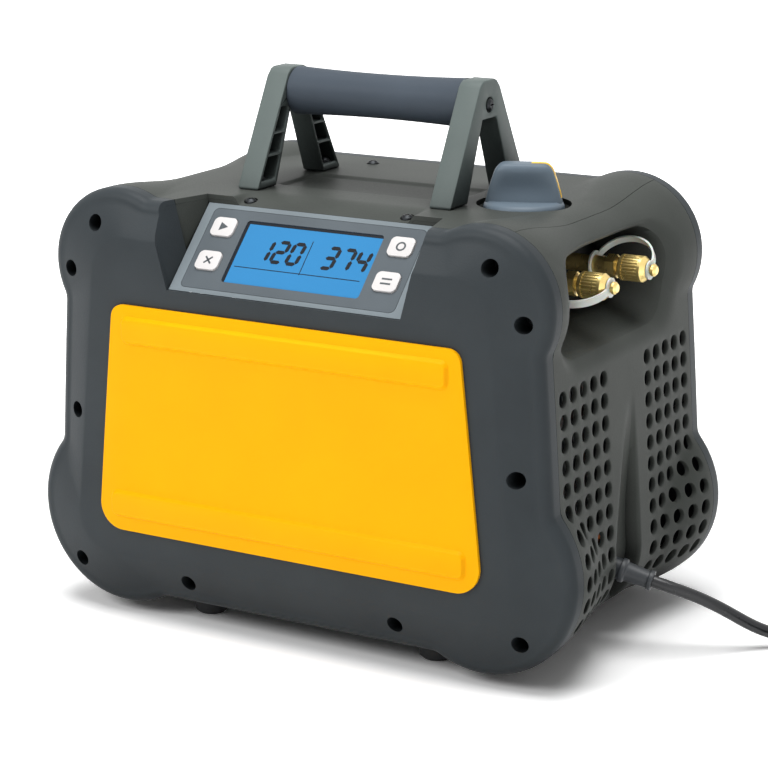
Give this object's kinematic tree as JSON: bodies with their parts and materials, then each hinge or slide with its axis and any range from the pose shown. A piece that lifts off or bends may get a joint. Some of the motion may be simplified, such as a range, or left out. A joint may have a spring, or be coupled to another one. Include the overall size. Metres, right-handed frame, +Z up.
{
  "type": "refrigerant recovery machine",
  "caption": "Portable refrigerant recovery machine with bumpered housing, sloping display, carrying handle, valve knob, capped flare ports and mains cord.",
  "frame": {"origin": "on the floor, under the middle of the housing", "axes": "+X to the side with the ports and cord, -Y to the front panel, +Z up"},
  "size_m": [0.6055, 0.2564, 0.3621],
  "materials": {
    "charcoal_shell": "textured moulded plastic",
    "stone_shell": "textured moulded plastic",
    "slate_bracket": "textured moulded plastic",
    "grip": "soft overmoulded grip",
    "yellow_panel": "satin moulded plastic",
    "bezel": "satin",
    "overlay": "printed film",
    "lcd": "backlit display",
    "button": "printed keys",
    "circuit_board": "solder mask",
    "black_plastic": "moulded",
    "knob": "fine textured",
    "pointer": "inlaid strip",
    "steel": "turned",
    "screw": "black oxide",
    "brass": "turned",
    "strap": "translucent",
    "rubber": "moulded",
    "plated_steel": "zinc plated sheet",
    "motor_paint": "enamel",
    "cast_aluminium": "cast",
    "copper": "drawn copper tube",
    "fin": "thin sheet",
    "relief": "moulded",
    "cord": "smooth jacket",
    "tie": "moulded",
    "plug": "moulded"
  },
  "bodies": {
    "housing": {"front_cover": "charcoal_shell", "rear_cover": "charcoal_shell", "base_tray": "charcoal_shell", "top_cover": "stone_shell", "right_side_panel": "stone_shell", "left_side_panel": "stone_shell", "handle_bracket_left": "slate_bracket", "handle_bracket_right": "slate_bracket", "handle_grip": "grip", "front_panel": "yellow_panel", "display_bezel": "bezel", "display_overlay": "overlay", "lcd_screen": "lcd", "control_board": "circuit_board", "power_board": "circuit_board", "button_switches": "black_plastic", "fan_shroud": "black_plastic", "handle_tube": "steel", "handle_screws": "screw", "front_cover_screws": "screw", "rear_cover_screws": "screw", "top_cover_screws": "screw", "foot_screws": "screw", "valve_block": "brass", "inlet_port": "brass", "outlet_port": "brass", "pressure_sensors": "brass", "feet": "rubber", "motor_mounts": "rubber", "chassis_plate": "plated_steel", "mount_rails": "plated_steel", "motor_housing": "motor_paint", "crankcase": "cast_aluminium", "cylinder_heads": "cast_aluminium", "heat_sink": "cast_aluminium", "condenser_tubes": "copper", "suction_pipe": "copper", "discharge_pipe": "copper", "return_pipe": "copper", "condenser_fins": "fin", "strain_relief": "relief", "power_cord": "cord", "cord_coil": "cord", "cord_tie": "tie", "plug": "plug"},
    "start_button": {"start_button": "button"},
    "clear_button": {"clear_button": "button"},
    "zero_button": {"zero_button": "button"},
    "units_button": {"units_button": "button"},
    "selector": {"selector_knob": "knob", "knob_pointer": "pointer", "valve_spindle": "steel"},
    "inlet_strap": {"inlet_cap_strap": "strap"},
    "inlet_cap": {"inlet_cap": "brass"},
    "outlet_strap": {"outlet_cap_strap": "strap"},
    "outlet_cap": {"outlet_cap": "brass"},
    "rotor": {"motor_shaft": "steel", "fan": "black_plastic"}
  },
  "joints": [
    {"name": "start_press", "type": "slide", "parent": "housing", "child": "start_button", "axis": [0, 0.7071, -0.7071], "range_m": [0, 0.0008], "stiffness_N_per_m": 900},
    {"name": "clear_press", "type": "slide", "parent": "housing", "child": "clear_button", "axis": [0, 0.7071, -0.7071], "range_m": [0, 0.0008], "stiffness_N_per_m": 900},
    {"name": "zero_press", "type": "slide", "parent": "housing", "child": "zero_button", "axis": [0, 0.7071, -0.7071], "range_m": [0, 0.0008], "stiffness_N_per_m": 900},
    {"name": "units_press", "type": "slide", "parent": "housing", "child": "units_button", "axis": [0, 0.7071, -0.7071], "range_m": [0, 0.0008], "stiffness_N_per_m": 900},
    {"name": "selector_turn", "type": "hinge", "parent": "housing", "child": "selector", "pos_m": [0.108, -0.0035, 0.286], "axis": [0, 0, 1], "range_deg": [0, 180]},
    {"name": "inlet_cap_out", "type": "slide", "parent": "housing", "child": "inlet_strap", "axis": [1, 0, 0], "range_m": [0, 0.00508]},
    {"name": "inlet_cap_turn", "type": "hinge", "parent": "inlet_strap", "child": "inlet_cap", "pos_m": [0.17, -0.028, 0.2435], "axis": [1, 0, 0], "range_deg": [0, 1440]},
    {"name": "outlet_cap_out", "type": "slide", "parent": "housing", "child": "outlet_strap", "axis": [1, 0, 0], "range_m": [0, 0.00508]},
    {"name": "outlet_cap_turn", "type": "hinge", "parent": "outlet_strap", "child": "outlet_cap", "pos_m": [0.17, 0.031, 0.2435], "axis": [1, 0, 0], "range_deg": [0, 1440]},
    {"name": "rotor_spin", "type": "hinge", "parent": "housing", "child": "rotor", "pos_m": [0.08, 0, 0.095], "axis": [1, 0, 0], "continuous": true}
  ],
  "couplings": [
    {"joint": "inlet_cap_turn", "follows": "inlet_cap_out", "rad_per_m": 4947.4},
    {"joint": "outlet_cap_turn", "follows": "outlet_cap_out", "rad_per_m": 4947.4}
  ]
}
